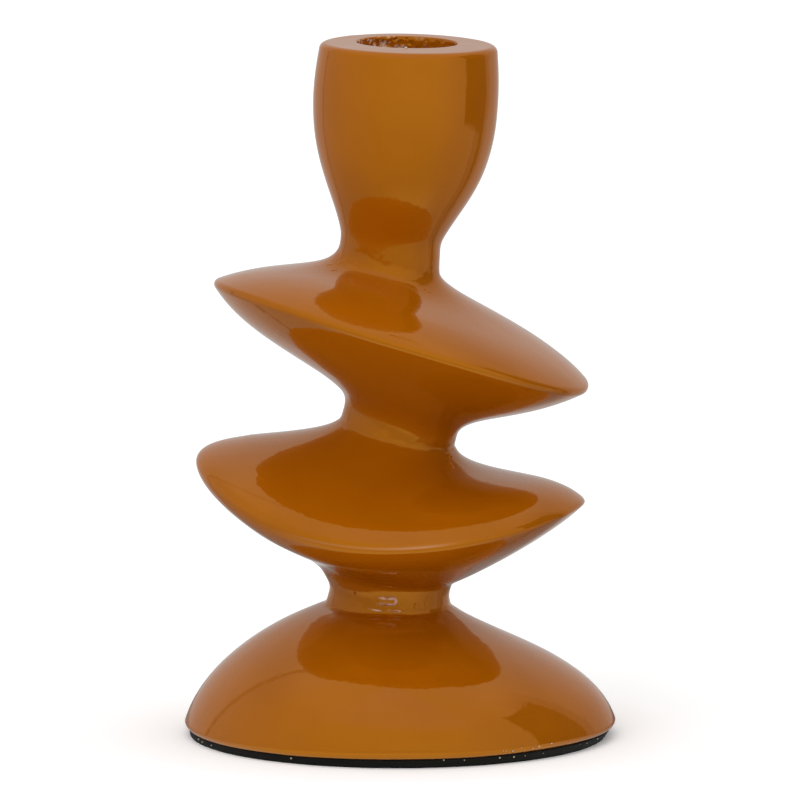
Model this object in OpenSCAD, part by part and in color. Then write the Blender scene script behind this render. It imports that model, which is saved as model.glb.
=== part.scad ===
// A candle holder of four enamelled metal castings, stacked like leaning pebbles.
// Each casting is a loft through tilted rings, and a hidden tie rod draws them together.
// Z points up, X points to the right of the holder, and the front faces minus Y.

/* [Foot pad] */
// Diameter of the soft pad under the base
pad_d = 94.4; // [88:0.2:96]
// Thickness of the pad
pad_t = 2; // [1:0.1:4]
// How far the pad is stuck off centre
pad_x = -0.5; // [-1:0.1:1]

/* [Base] */
// Diameter of the base at its foot
foot_d = 97.6; // [96.5:0.1:105]
// Radius of the worn edge at the foot
foot_round = 0.6; // [0.4:0.1:1.5]
// Height of the base from its foot to the lower joint
base_h = 27.8; // [26:0.1:33]
// Wall of the hollow base
base_wall = 4.5; // [3.5:0.1:6]
// Height over which the sides of the base stay steep
base_side_h = 14.8; // [12:0.1:17]
// How far the sides lean in over that height
base_side_in = 3.4; // [0.5:0.1:5]
// How far below the lower joint the shoulder of the base starts to flare
base_flare_drop = 6; // [4.5:0.1:8]
// How far the shoulder spreads beyond the joint there
base_flare_out = 9.8; // [5:0.1:13]
// Lean of the shoulder, down to the right
base_flare_angle = 5.3; // [0:0.1:8]
// Thickness of the boss over the hollow, which the nut pulls on
boss_t = 11; // [10:0.1:13]
// Diameter of the flat roof of the hollow
boss_d = 24; // [18:0.5:28]

/* [Lower neck] */
// Diameter of the joint between the base and the lower disc
lower_joint_d = 28.7; // [26:0.1:32]
// Offset of that joint from the middle of the base
lower_joint_x = -2.7; // [-4:0.1:0]
// Lean of that joint, down to the right
lower_joint_angle = 0.5; // [0:0.1:5]
// Height of the neck's waist over its joint
lower_waist_h = 3.4; // [2.5:0.1:5]
// Diameter of that waist
lower_waist_d = 26.8; // [25:0.1:30]
// Offset of that waist from the middle of the base
lower_waist_x = -2.3; // [-4:0.1:0]
// Lean of that waist, down to the right
lower_waist_angle = 4; // [0:0.1:6]
// Height of the throat, where the neck meets the disc, over the waist
lower_throat_h = 3; // [2.2:0.1:5]
// Diameter of that throat
lower_throat_d = 30; // [27:0.1:34]
// Offset of that throat from the middle of the base
lower_throat_x = -3; // [-5:0.1:0]
// Lean of that throat, down to the right
lower_throat_angle = 6.5; // [2:0.1:8]

/* [Lower disc] */
// Diameter of the rim of the lower disc
lower_rim_d = 88; // [80:0.5:94]
// Offset of its rim from the middle of the base
lower_rim_x = -2.1; // [-4:0.1:2]
// Height of its rim over the lower joint
lower_rim_h = 25; // [23:0.1:27]
// Lean of its rim, down to the right
lower_rim_angle = 5.8; // [0:0.1:8]
// Lean of its rim, down to the front
lower_rim_dip_angle = 2.5; // [0:0.1:6]
// How far its hand-shaped rim waves up and down
lower_rim_wave = 4.3; // [0:0.1:4.5]
// Direction in which the wave of its rim is highest, round from the right
lower_rim_wave_angle = -18; // [-45:1:45]
// How far its underside climbs as it leaves the throat
lower_under_rise = 5.2; // [3:0.1:7]
// How far its underside spreads on that climb
lower_under_spread = 4.7; // [2:0.1:8]
// How far its underside shifts to the right on that climb
lower_under_x = 3; // [0:0.1:5]
// How far in from the rim its underside swells
lower_under_in = 4.5; // [3:0.1:12]
// How deep its underside swells below the rim
lower_under_drop = 9.2; // [7:0.1:11]
// How far below the middle joint its upper side turns outwards
lower_top_fall = 6.8; // [3:0.1:8]
// How far its upper side spreads on that fall
lower_top_spread = 3; // [1:0.1:6]
// How far in from the rim its upper side swells
lower_top_in = 17.4; // [10:0.1:20]
// How high its upper side swells over the rim
lower_top_swell = 8; // [5:0.1:10]

/* [Middle neck] */
// Height of the middle joint over the lower joint
middle_joint_h = 39.4; // [38:0.1:45]
// Diameter of the joint between the two discs
middle_joint_d = 26.2; // [24:0.1:30]
// Offset of that joint from the middle of the base
middle_joint_x = -0.5; // [-2:0.1:1]
// Lean of that joint, down to the right
middle_joint_angle = 14; // [10:0.1:16]
// Lean of that joint, down to the front
middle_joint_dip_angle = 3; // [0:0.1:5]
// Height of the neck's waist over its joint
middle_waist_h = 2.8; // [2.6:0.1:6]
// Diameter of that waist
middle_waist_d = 26.8; // [24:0.1:30]
// Offset of that waist from the middle of the base
middle_waist_x = 0; // [-2:0.1:1]
// Lean of that waist, down to the right
middle_waist_angle = 21; // [17:0.1:23]

/* [Upper disc] */
// Diameter of the rim of the upper disc
upper_rim_d = 88; // [80:0.1:94]
// Offset of its rim from the middle of the base
upper_rim_x = 0.5; // [-2:0.1:2]
// Height of its rim over the middle joint
upper_rim_h = 22.9; // [21:0.1:25]
// Lean of its rim, down to the right
upper_rim_angle = 15.8; // [10:0.1:18]
// Lean of its rim, up to the front
upper_rim_lift_angle = 2.7; // [0:0.1:6]
// How far its hand-shaped rim waves up and down
upper_rim_wave = 1.4; // [0:0.1:3]
// Direction in which the wave of its rim is highest, round from the right
upper_rim_wave_angle = 72; // [0:1:90]
// How far its underside climbs as it leaves the waist
upper_under_rise = 7.4; // [4:0.1:9]
// How far its underside shifts to the left on that climb
upper_under_x = 2.6; // [0:0.1:5]
// How far in from the rim its underside swells
upper_under_in = 13.6; // [8:0.1:18]
// How deep its underside swells below the rim
upper_under_drop = 11.6; // [8:0.1:13]
// How far below the upper joint its upper side turns outwards
upper_top_fall = 6.2; // [3:0.1:8]
// How far its upper side shifts to the left on that fall
upper_top_x = 1.6; // [0:0.1:3]
// How far in from the rim its upper side swells
upper_top_in = 11.3; // [8:0.1:18]
// How high its upper side swells over the rim
upper_top_swell = 9.9; // [7:0.1:12]

/* [Disc rims] */
// Radius of the rounded edge of both discs
rim_round = 1.2; // [0.6:0.1:2]

/* [Upper neck] */
// Height of the upper joint over the middle joint
upper_joint_h = 39.8; // [38:0.1:45]
// Diameter of the joint between the upper disc and the cup
upper_joint_d = 22.9; // [22:0.1:27]
// Offset of that joint from the middle of the base
upper_joint_x = -2.1; // [-3:0.1:0]
// Lean of that joint, down to the right
upper_joint_angle = 10.6; // [6:0.1:12]
// Height of the neck's waist over its joint
upper_waist_h = 4.3; // [3:0.1:6]
// Diameter of that waist
upper_waist_d = 22.4; // [21:0.1:26]
// Offset of that waist from the middle of the base
upper_waist_x = -2; // [-3:0.1:0]
// Lean of that waist, down to the right
upper_waist_angle = 7.4; // [4:0.1:12]

/* [Candle cup] */
// Height of the cup from the upper joint to its rim
cup_h = 48.4; // [46:0.1:58]
// Outer diameter of the cup's rim
cup_rim_d = 40.5; // [38:0.1:44]
// Offset of the cup's rim from the middle of the base
cup_rim_x = 2; // [0:0.1:3]
// Lean of the cup's rim, down to the right
cup_rim_angle = 1.5; // [0:0.1:3]
// Lean of the cup's rim, down to the front
cup_rim_dip_angle = 1; // [0:0.1:3]
// Radius of the rounded edge of the cup's rim
cup_rim_round = 0.9; // [0.5:0.1:1.5]
// How far the cup's stem climbs as it leaves the waist
cup_stem_rise = 11.2; // [6:0.1:14]
// How far the stem spreads on that climb
cup_stem_spread = 4.3; // [2:0.1:7]
// How far below the rim the cup starts to swell
cup_swell_drop = 25.9; // [20:0.1:28]
// How far it swells beyond its rim there
cup_swell_out = 2.9; // [1:0.1:4]
// How far that swelling lies to the left of the rim
cup_swell_x = 1.3; // [0:0.1:3]
// Lean of that swelling, down to the right
cup_swell_angle = 8.8; // [4:0.1:11]
// Diameter of the bore for the candle
candle_d = 22.6; // [21:0.1:24]
// Depth of the bore for the candle
candle_depth = 26; // [22:0.5:28]
// Offset of the bore from the middle of the base
candle_x = 1.6; // [1:0.1:2]
// Width of the softened lip of the bore
lip_w = 0.5; // [0.3:0.1:1]

/* [Tie rod and joints] */
// Diameter of the tie rod
rod_d = 6; // [5:0.1:8]
// Offset of the tie rod from the middle of the base
rod_x = -1.5; // [-2.5:0.1:-0.5]
// Length of the rod inside the cup's foot
rod_grip = 11; // [8:0.5:12]
// How far the rod stands out below its nut
rod_tail = 2; // [1:0.5:3]
// Free room round the rod in the castings
rod_gap = 0.25; // [0.1:0.05:0.5]
// Diameter of the spigot on top of each neck
spigot_d = 13; // [12:0.1:14]
// Height of the spigot over the middle of its joint
spigot_h = 6; // [5:0.1:8]
// Free room round a spigot in its socket
socket_gap = 0.15; // [0.05:0.05:0.3]
// Outer diameter of the flat washer
washer_d = 12; // [11:0.1:16]
// Thickness of the flat washer
washer_t = 1.6; // [1:0.1:2]
// Outer diameter of the spring washer
spring_washer_d = 10.5; // [10:0.1:11]
// Thickness of the spring washer
spring_washer_t = 1.5; // [1:0.1:2]
// Width of the slit in the spring washer
spring_slit_w = 0.8; // [0.5:0.1:1.5]
// Width of the nut across its flats
nut_w = 10; // [9.6:0.1:13]
// Thickness of the nut
nut_t = 5; // [4:0.1:6]
// Free room of the washers and the nut round the rod
thread_gap = 0.1; // [0.05:0.05:0.2]

/* [Base board] */
// Thickness of the board that closes the hollow
board_t = 2.5; // [2:0.1:4]
// Width of the step in the base that holds the board
board_step = 2; // [1.5:0.1:2.5]
// Free room round and over the board
board_gap = 0.2; // [0.1:0.05:0.4]

/* [Hidden] */
enamel = [0.62, 0.34, 0.05];
steel = [0.62, 0.63, 0.65];
board_brown = [0.45, 0.32, 0.20];
felt_black = [0.05, 0.05, 0.05];
// Straight sides round each loft
ring_sides = 48;
// Bands of a loft between its guide rings
loft_steps = 12;
// Half the arc that the rounded edge of a disc turns through
edge_arc_angle = 45;
// Roundness of bores, rods and pins
$fn = 64;
// Every cut runs past its faces by this much
overrun = 1;
// Share of the height of the base's steep sides that the hollow follows
hollow_side_share = 0.62;
// Share of the way from the roof's edge to the foot where the hollow's roof turns down
hollow_turn_share = 0.47;
// Corners of a nut
nut_corners = 6;

foot_r = foot_d / 2;
foot_z = pad_t;
lower_z = foot_z + base_h;
middle_z = lower_z + middle_joint_h;
upper_z = middle_z + upper_joint_h;
cup_rim_z = upper_z + cup_h;
lower_waist_z = lower_z + lower_waist_h;
roof_z = lower_z - boss_t;
board_r = foot_r - base_wall + board_step;
candle_floor_z = cup_rim_z - candle_depth;
rod_top_z = upper_z + rod_grip;
spring_z = roof_z - washer_t - spring_washer_t;
nut_z = spring_z - nut_t;
rod_low_z = nut_z - rod_tail;

// A ring is [x, z, radius, lean to the right, lean to the front, wave height, wave direction].
foot = [0, foot_z, foot_r, 0, 0, 0, 0];
lower_joint = [lower_joint_x, lower_z, lower_joint_d / 2, lower_joint_angle, 0, 0, 0];
lower_waist = [lower_waist_x, lower_waist_z, lower_waist_d / 2, lower_waist_angle, 0, 0, 0];
lower_throat = [lower_throat_x, lower_waist_z + lower_throat_h, lower_throat_d / 2,
                lower_throat_angle, 0, 0, 0];
lower_rim = [lower_rim_x, lower_z + lower_rim_h, lower_rim_d / 2, lower_rim_angle,
             lower_rim_dip_angle, lower_rim_wave, lower_rim_wave_angle];
middle_joint = [middle_joint_x, middle_z, middle_joint_d / 2, middle_joint_angle,
                middle_joint_dip_angle, 0, 0];
middle_waist = [middle_waist_x, middle_z + middle_waist_h, middle_waist_d / 2,
                middle_waist_angle, middle_joint_dip_angle, 0, 0];
upper_rim = [upper_rim_x, middle_z + upper_rim_h, upper_rim_d / 2, upper_rim_angle,
             -upper_rim_lift_angle, upper_rim_wave, upper_rim_wave_angle];
upper_joint = [upper_joint_x, upper_z, upper_joint_d / 2, upper_joint_angle, 0, 0, 0];
upper_waist = [upper_waist_x, upper_z + upper_waist_h, upper_waist_d / 2,
               upper_waist_angle, 0, 0, 0];
cup_swell = [cup_rim_x - cup_swell_x, cup_rim_z - cup_swell_drop, cup_rim_d / 2 + cup_swell_out,
             cup_swell_angle, 0, 0, 0];
cup_rim = [cup_rim_x, cup_rim_z, cup_rim_d / 2, cup_rim_angle, cup_rim_dip_angle, 0, 0];

// The unit axis of a ring that leans to the right and to the front
function ring_axis(r) =
    let (n = [sin(r[3]) * cos(r[4]), -cos(r[3]) * sin(r[4]), cos(r[3]) * cos(r[4])])
    n / norm(n);

// The points of a ring, moved along its axis, grown outwards and carried to the right
function ring(r, along = 0, grow = 0, right = 0) =
    let (rad = r[2] + grow, middle = [r[0] + right, 0, r[1]] + along * ring_axis(r))
    [for (i = [0 : ring_sides - 1])
        let (a = 360 * i / ring_sides)
        middle + [rad * cos(a) * cos(r[3]),
                  rad * sin(a) * cos(r[4]),
                  rad * (sin(a) * sin(r[4]) - cos(a) * sin(r[3])) + r[5] * cos(2 * (a - r[6]))]];

// Rings along the curve that leaves ring a towards b and meets ring d from c
function curve(a, b, c, d) =
    [for (k = [0 : loft_steps])
        let (t = k / loft_steps, s = 1 - t)
        s * s * s * a + 3 * s * s * t * b + 3 * s * t * t * c + t * t * t * d];

// A ring on a rounded edge, at an angle above or below the edge's middle
function edge(rim, radius, arc) = ring(rim, radius * sin(arc), radius * (cos(arc) - 1));

// A closed solid skinned over a list of rings, from its lowest ring to its highest
module skin(rings) {
    n = ring_sides;
    last = len(rings) - 1;
    points = [for (r = rings) each r];
    sides = [for (k = [0 : last - 1], i = [0 : n - 1])
        let (a = k * n + i, b = k * n + (i + 1) % n)
        each [[a, a + n, b], [b, a + n, b + n]]];
    low_cap = [for (i = [0 : n - 1]) i];
    high_cap = [for (i = [0 : n - 1]) last * n + n - 1 - i];
    polyhedron(points, concat([low_cap], sides, [high_cap]));
}

// A disc on its neck: the neck, the underside, the rounded rim and the upper side
module disc(neck, leave, under, rim, swell, arrive, joint) {
    low = curve(ring(neck[len(neck) - 1]), leave, under, edge(rim, rim_round, -edge_arc_angle));
    high = curve(edge(rim, rim_round, edge_arc_angle), swell, arrive, ring(joint));
    stub = [for (k = [0 : len(neck) - 2]) ring(neck[k])];
    skin(concat(stub, low, [edge(rim, rim_round, 0)], high));
}

// A vertical cylinder on the line of the tie rod, from one height to another
module on_rod_line(d, low_z, high_z) {
    translate([rod_x, 0, low_z]) cylinder(d = d, h = high_z - low_z);
}

// The spigot that stands on a casting's upper joint
module spigot(joint) {
    on_rod_line(spigot_d, joint[1] - spigot_h, joint[1] + spigot_h);
}

// The socket over a casting's lower joint, for the spigot of the casting below
module socket(joint) {
    on_rod_line(spigot_d + 2 * socket_gap, joint[1] - spigot_h,
                joint[1] + spigot_h + socket_gap);
}

// The clear hole for the tie rod between two heights
module rod_hole(low_z, high_z) {
    on_rod_line(rod_d + 2 * rod_gap, low_z, high_z);
}

// The domed outside of the base, up to the lower joint
module base_dome() {
    side = [0, foot_z + base_side_h, foot_r - base_side_in, 0, 0, 0, 0];
    flare = [lower_joint_x, lower_z - base_flare_drop, lower_joint_d / 2 + base_flare_out,
             base_flare_angle, 0, 0, 0];
    worn_edge = ring(foot, 0, -foot_round);
    dome = curve(ring(foot, foot_round), ring(side), ring(flare), ring(lower_joint));
    skin(concat([worn_edge], dome));
}

// The hollow under the dome, from the foot to the flat roof below the boss
module base_hollow() {
    roof_r = boss_d / 2;
    turn_r = roof_r + hollow_turn_share * (foot_r - roof_r);
    inside = [0, foot_z, foot_r - base_wall, 0, 0, 0, 0];
    side = [0, foot_z + hollow_side_share * base_side_h, foot_r - base_side_in - base_wall, 0, 0, 0, 0];
    turn = [0, roof_z, turn_r, base_flare_angle, 0, 0, 0];
    roof = [rod_x, roof_z, roof_r, 0, 0, 0, 0];
    skin(curve(ring(inside), ring(side), ring(turn), ring(roof)));
}

// The base: a hollow dome with a step for the board and a boss for the rod
module base() {
    color(enamel) difference() {
        union() {
            base_dome();
            spigot(lower_joint);
        }
        base_hollow();
        translate([0, 0, foot_z - overrun])
            cylinder(r = board_r + board_gap, h = overrun + board_t + board_gap);
        rod_hole(roof_z - overrun, lower_z + spigot_h + overrun);
    }
}

// The lower disc, on a short neck with a waist and a throat
module lower_disc() {
    color(enamel) difference() {
        union() {
            disc([lower_joint, lower_waist, lower_throat],
                 ring(lower_throat, lower_under_rise, lower_under_spread, lower_under_x),
                 ring(lower_rim, -lower_under_drop, -lower_under_in), lower_rim,
                 ring(lower_rim, lower_top_swell, -lower_top_in),
                 ring(middle_joint, -lower_top_fall, lower_top_spread), middle_joint);
            spigot(middle_joint);
        }
        socket(lower_joint);
        rod_hole(lower_z, middle_z + spigot_h + overrun);
    }
}

// The upper disc, which leans further than the lower one
module upper_disc() {
    color(enamel) difference() {
        union() {
            disc([middle_joint, middle_waist],
                 ring(middle_waist, upper_under_rise, 0, -upper_under_x),
                 ring(upper_rim, -upper_under_drop, -upper_under_in), upper_rim,
                 ring(upper_rim, upper_top_swell, -upper_top_in),
                 ring(upper_joint, -upper_top_fall, 0, -upper_top_x), upper_joint);
            spigot(upper_joint);
        }
        socket(middle_joint);
        rod_hole(middle_z, upper_z + spigot_h + overrun);
    }
}

// The outside of the cup, from its joint over its waist to the flat rim
module cup_body() {
    r = cup_rim_round;
    wall = curve(ring(upper_waist), ring(upper_waist, cup_stem_rise, cup_stem_spread),
                 ring(cup_swell), ring(cup_rim, -r));
    shoulder = ring(cup_rim, -r * (1 - sin(edge_arc_angle)), -r * (1 - cos(edge_arc_angle)));
    skin(concat([ring(upper_joint)], wall, [shoulder, ring(cup_rim, 0, -r)]));
}

// The cone that softens the lip of the bore, with its middle on the rim's plane
module lip_cutter() {
    translate([0, 0, -lip_w - overrun])
        cylinder(d1 = candle_d - 2 * overrun, d2 = candle_d + 2 * (lip_w + overrun),
                 h = lip_w + 2 * overrun);
}

// The cup, with the candle's bore from above and the rod's blind hole from below
module candle_cup() {
    color(enamel) difference() {
        cup_body();
        translate([candle_x, 0, candle_floor_z])
            cylinder(d = candle_d, h = candle_depth + cup_rim_round + overrun);
        translate([candle_x, 0, cup_rim_z]) rotate([cup_rim_dip_angle, cup_rim_angle, 0])
            lip_cutter();
        socket(upper_joint);
        rod_hole(upper_z, rod_top_z + rod_gap);
    }
}

// The rod from below its nut to its blind hole in the cup
module tie_rod() {
    color(steel) on_rod_line(rod_d, rod_low_z, rod_top_z);
}

// A ring of metal round the rod, hanging below a height
module rod_ring(d, thickness, top_z) {
    difference() {
        on_rod_line(d, top_z - thickness, top_z);
        on_rod_line(rod_d + 2 * thread_gap, top_z - thickness - overrun, top_z + overrun);
    }
}

// The flat washer under the boss
module flat_washer() {
    color(steel) rod_ring(washer_d, washer_t, roof_z);
}

// The slit washer that keeps the nut from working loose
module spring_washer() {
    color(steel) difference() {
        rod_ring(spring_washer_d, spring_washer_t, roof_z - washer_t);
        translate([rod_x, -spring_slit_w / 2, spring_z - overrun])
            cube([spring_washer_d, spring_slit_w, spring_washer_t + 2 * overrun]);
    }
}

// The nut that draws the castings together
module rod_nut() {
    color(steel) difference() {
        translate([rod_x, 0, nut_z])
            cylinder(d = nut_w / cos(180 / nut_corners), h = nut_t, $fn = nut_corners);
        on_rod_line(rod_d + 2 * thread_gap, nut_z - overrun, spring_z + overrun);
    }
}

// The board glued into the step under the base
module base_board() {
    color(board_brown) translate([0, 0, foot_z]) cylinder(r = board_r, h = board_t);
}

// The pad glued under the foot and the board
module foot_pad() {
    color(felt_black) translate([pad_x, 0, 0]) cylinder(d = pad_d, h = pad_t);
}

base();
lower_disc();
upper_disc();
candle_cup();
tie_rod();
flat_washer();
spring_washer();
rod_nut();
base_board();
foot_pad();
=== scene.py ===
# %% [markdown]
# # A candle holder of four enamelled castings
# The holder stands on a hollow domed base. Two lens-shaped discs lean on it like pebbles, and a
# cup on top takes a dinner candle. Each of the four is a metal casting, and the glossy ochre
# enamel was fired over them after a hidden rod had drawn them together. This lesson dresses the
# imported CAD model: it makes each casting again as a smooth loft, and gives every piece its finish.

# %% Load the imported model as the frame
from collections import namedtuple
from math import atan2, cos, exp, pi, radians, sin

import bmesh
import bpy
from mathutils import Matrix, Vector, noise


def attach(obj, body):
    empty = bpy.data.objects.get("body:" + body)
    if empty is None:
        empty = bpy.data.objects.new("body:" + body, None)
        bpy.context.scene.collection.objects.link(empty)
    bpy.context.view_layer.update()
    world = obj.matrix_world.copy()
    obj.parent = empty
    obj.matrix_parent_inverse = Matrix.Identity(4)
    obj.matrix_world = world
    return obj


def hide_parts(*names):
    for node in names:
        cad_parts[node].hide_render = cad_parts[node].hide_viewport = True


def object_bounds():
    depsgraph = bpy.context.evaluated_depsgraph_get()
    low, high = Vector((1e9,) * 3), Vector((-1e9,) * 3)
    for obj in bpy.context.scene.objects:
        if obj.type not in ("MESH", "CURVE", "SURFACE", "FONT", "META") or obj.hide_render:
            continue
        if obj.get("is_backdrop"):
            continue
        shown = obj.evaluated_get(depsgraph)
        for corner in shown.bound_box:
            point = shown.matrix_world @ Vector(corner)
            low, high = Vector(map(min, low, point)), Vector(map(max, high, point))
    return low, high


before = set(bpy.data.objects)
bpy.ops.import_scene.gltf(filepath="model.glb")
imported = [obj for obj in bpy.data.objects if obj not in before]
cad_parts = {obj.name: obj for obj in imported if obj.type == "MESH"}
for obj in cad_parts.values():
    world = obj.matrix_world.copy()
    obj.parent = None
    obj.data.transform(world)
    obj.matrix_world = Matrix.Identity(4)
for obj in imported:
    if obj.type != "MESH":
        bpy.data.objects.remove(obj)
cad_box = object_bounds()
print("CAD nodes:", sorted(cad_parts))
print("CAD box in metres:", [[round(c, 4) for c in corner] for corner in cad_box])

# %% [markdown]
# ## Put the camera where the photograph was taken
# A product shot like this one is made from far away with a long lens, so that the foot and the
# rim look nearly as wide as they are. The camera stands 2.4 m off and a little above the foot,
# and it looks at the middle of the holder. Its lens gives 4.4 pixels to the millimetre.

# %% The camera
MM = 0.001
CAMERA_DISTANCE = 2400 * MM
CAMERA_HEIGHT_ANGLE = radians(9.55)
AIM = Vector((0.07 * MM, 0, 76.4 * MM))
SENSOR_MM = 36
PICTURE_PIXELS = 800
PIXELS_PER_MM = 4.4


def add_object(name, data):
    """Make an object of some data and put it in the scene."""
    made = bpy.data.objects.new(name, data)
    bpy.context.scene.collection.objects.link(made)
    return made


def stand(thing, place):
    """Stand a camera or a lamp at a place, turned to the middle of the holder."""
    thing.location = place
    thing.rotation_euler = (AIM - thing.location).to_track_quat("-Z", "Y").to_euler()


camera_data = bpy.data.cameras.new("camera")
camera_data.sensor_width = SENSOR_MM
camera_data.lens = PIXELS_PER_MM * CAMERA_DISTANCE / MM / PICTURE_PIXELS * SENSOR_MM
camera = add_object("camera", camera_data)
stand(camera, (AIM.x, -CAMERA_DISTANCE * cos(CAMERA_HEIGHT_ANGLE),
               CAMERA_DISTANCE * sin(CAMERA_HEIGHT_ANGLE)))
bpy.context.scene.camera = camera
bpy.context.scene.view_settings.view_transform = "Standard"
print("lens", round(camera_data.lens, 1), "mm, seen from", [round(c, 3) for c in camera.location])

# %% [markdown]
# ## Describe the castings by leaning rings
# Nothing on the holder is turned on a lathe: every rim leans its own way. So a form is described
# by a few rings, each with an offset, a height, a radius and a lean. They start from the CAD
# source's rings and come closer to the photograph: the necks lie a little forward or back, the
# discs are a few per cent less deep, and the lower disc's ridge lies lower. In Blender a ring is
# one matrix that carries a circle of radius one to its place. Matrices can be added and scaled,
# so a Bezier curve through four of them gives every ring in between.

# %% A hoop is a ring's matrix and its wave
# Sizes are in millimetres and angles in degrees. A ring leans down to the right, dips down to
# the front and waves up and down. It lies y behind the middle, and deep is its depth as a share
# of its width.
Ring = namedtuple("Ring", "x z radius lean dip wave y deep", defaults=(0, 0, 0, 0, 1))


class Hoop:
    """Where one circle of a loft lies, and how far it waves up and down."""

    def __init__(self, matrix, wave=0.0):
        self.matrix = matrix
        self.wave = wave

    def __add__(self, other):
        return Hoop(self.matrix + other.matrix, self.wave + other.wave)

    def __mul__(self, share):
        return Hoop(self.matrix * share, self.wave * share)

    __rmul__ = __mul__

    def reach(self, other):
        """The mean distance between this hoop and another, over four points."""
        corners = [Vector(c) for c in ((1, 0, 0), (-1, 0, 0), (0, 1, 0), (0, -1, 0))]
        return sum((self.matrix @ c - other.matrix @ c).length for c in corners) / len(corners)


def hoop(ring, along=0, grow=0, right=0):
    """The hoop of a ring, moved along its axis, grown outwards and carried to the right."""
    lean, dip = radians(ring.lean), radians(ring.dip)
    across = Vector((cos(lean), 0, -sin(lean)))
    forth = Vector((0, cos(dip), sin(dip)))
    axis = Vector((sin(lean) * cos(dip), -cos(lean) * sin(dip), cos(lean) * cos(dip))).normalized()
    middle = Vector((ring.x + right, ring.y, ring.z)) + along * axis
    size = (ring.radius + grow) * MM
    matrix = Matrix((across * size, forth * (size * ring.deep), axis)).transposed().to_4x4()
    matrix.translation = middle * MM
    return Hoop(matrix, ring.wave * MM)


print("a ring of radius 10 at height 5:", hoop(Ring(0, 5, 10)).matrix.col[3][:])


# %% [markdown]
# ## Turn a chain of hoops into a closed casting
# Bezier curves give chains of hoops, and a chain is respaced so that its hoops lie evenly, at
# about the size of the smallest form. Where two castings meet, the enamel has run into the
# corner, so the chain is relaxed there: each hoop moves to the mean of its neighbours. Then every
# hoop becomes a circle, and the circles are joined to one skin.

# %% Chains of hoops
def curve(a, b, c, d, steps=48):
    """Hoops along the curve that leaves a towards b and meets d from c."""
    chain = []
    for k in range(steps + 1):
        t = k / steps
        s = 1 - t
        chain.append(a * s**3 + b * (3 * s * s * t) + c * (3 * s * t * t) + d * t**3)
    return chain


def edge_hoop(ring, radius, turn):
    """A hoop on a rounded edge, at an angle above or below the edge's middle."""
    return hoop(ring, radius * sin(turn), radius * (cos(turn) - 1))


def respace(chain, spacing):
    """The same chain with its hoops at even distances, and its two ends kept."""
    travelled = [0.0]
    for before, after in zip(chain, chain[1:]):
        travelled.append(travelled[-1] + before.reach(after))
    count = max(1, round(travelled[-1] / (spacing * MM)))
    even, k = [chain[0]], 0
    for i in range(1, count):
        target = travelled[-1] * i / count
        while travelled[k + 1] < target:
            k += 1
        share = (target - travelled[k]) / (travelled[k + 1] - travelled[k])
        even.append(chain[k] * (1 - share) + chain[k + 1] * share)
    return even + [chain[-1]]


def relax(chain, middle, width, rounds):
    """Soften a chain round one of its hoops; the softening fades out over the width."""
    for _ in range(rounds):
        old = list(chain)
        for i in range(max(1, middle - width), min(len(chain) - 1, middle + width + 1)):
            pull = 0.5 * cos(0.5 * pi * (i - middle) / (width + 1)) ** 2
            chain[i] = old[i] * (1 - pull) + (old[i - 1] + old[i + 1]) * (0.5 * pull)
    return chain


# %% The size of the mesh
SIDES = 192
SPACING_MM = 0.4
ROUND_STEPS = 8
RELAX_WIDTH = 8  # in hoops
print(SIDES, "sides round each casting, and a hoop every", SPACING_MM, "mm")

# %% [markdown]
# ## The whole outside as one chain
# The four castings touch along their necks, so their outsides are laid out as one chain from the
# foot to the rim. That way the relaxed corner runs on from one casting into the next. The chain
# is cut at the three joints afterwards.

# %% Sizes of the outside, in millimetres
FOOT_Z = 2.0
LOWER_Z = FOOT_Z + 27.8
MIDDLE_Z = LOWER_Z + 39.4
UPPER_Z = MIDDLE_Z + 39.8
RIM_Z = UPPER_Z + 48.4
WORN_EDGE = 1.3
DISC_EDGE = 1.2
LOWER_EDGE = radians(-31)
UPPER_EDGE = (radians(-45), radians(45))
CUP_EDGE = 1.6
LOWER_WAVE_AT = radians(-12)
UPPER_WAVE_AT = radians(72)

foot = Ring(0, FOOT_Z, 48.8, lean=-0.3)
base_side = Ring(0, FOOT_Z + 15.2, 44.21, y=0.4, deep=1.107)
base_flare = Ring(-2.9, LOWER_Z - 4.7, 24.15, lean=4.9, dip=-3.5, y=-2.5, deep=1.026)
lower_joint = Ring(-2.7, LOWER_Z, 14.21, lean=0.5, dip=2)
lower_waist = Ring(-2.3, LOWER_Z + 3.4, 13.42, lean=4, dip=-0.9, y=-1)
lower_throat = Ring(-3, LOWER_Z + 6.8, 15, lean=5.9, dip=2.5, y=0.1)
lower_rim = Ring(-1.8, LOWER_Z + 22.8, 44, lean=4.8, dip=1.3, wave=4.6, y=1.3, deep=0.926)
middle_joint = Ring(-0.5, MIDDLE_Z, 13.1, lean=14, dip=4.2, y=0.3)
middle_waist = Ring(0.2, MIDDLE_Z + 2.7, 13.31, lean=20, dip=5.3, y=0.2)
upper_rim = Ring(0.5, MIDDLE_Z + 23, 44, lean=15.8, dip=-0.9, wave=1.2, y=1.5, deep=0.969)
upper_joint = Ring(-2.2, UPPER_Z, 11.45, lean=10.6, dip=5.3)
upper_waist = Ring(-2, UPPER_Z + 4.4, 11.2, lean=7.4, y=-1)
cup_swell = Ring(0.6, RIM_Z - 26.7, 23.57, lean=8.8, dip=0.5, y=2.2)
cup_rim = Ring(2, RIM_Z + 0.1, 20.25, lean=1.5, dip=1, y=-1.2)
print("joints at", LOWER_Z, MIDDLE_Z, UPPER_Z, "mm and the rim at", RIM_Z, "mm")

# %% The chain from the foot to the rim
def rounded(ring, radius, low, high):
    """Hoops round an edge of a disc or the cup, from a low angle to a high one."""
    return [edge_hoop(ring, radius, low + (high - low) * k / ROUND_STEPS)
            for k in range(ROUND_STEPS + 1)]


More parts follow.
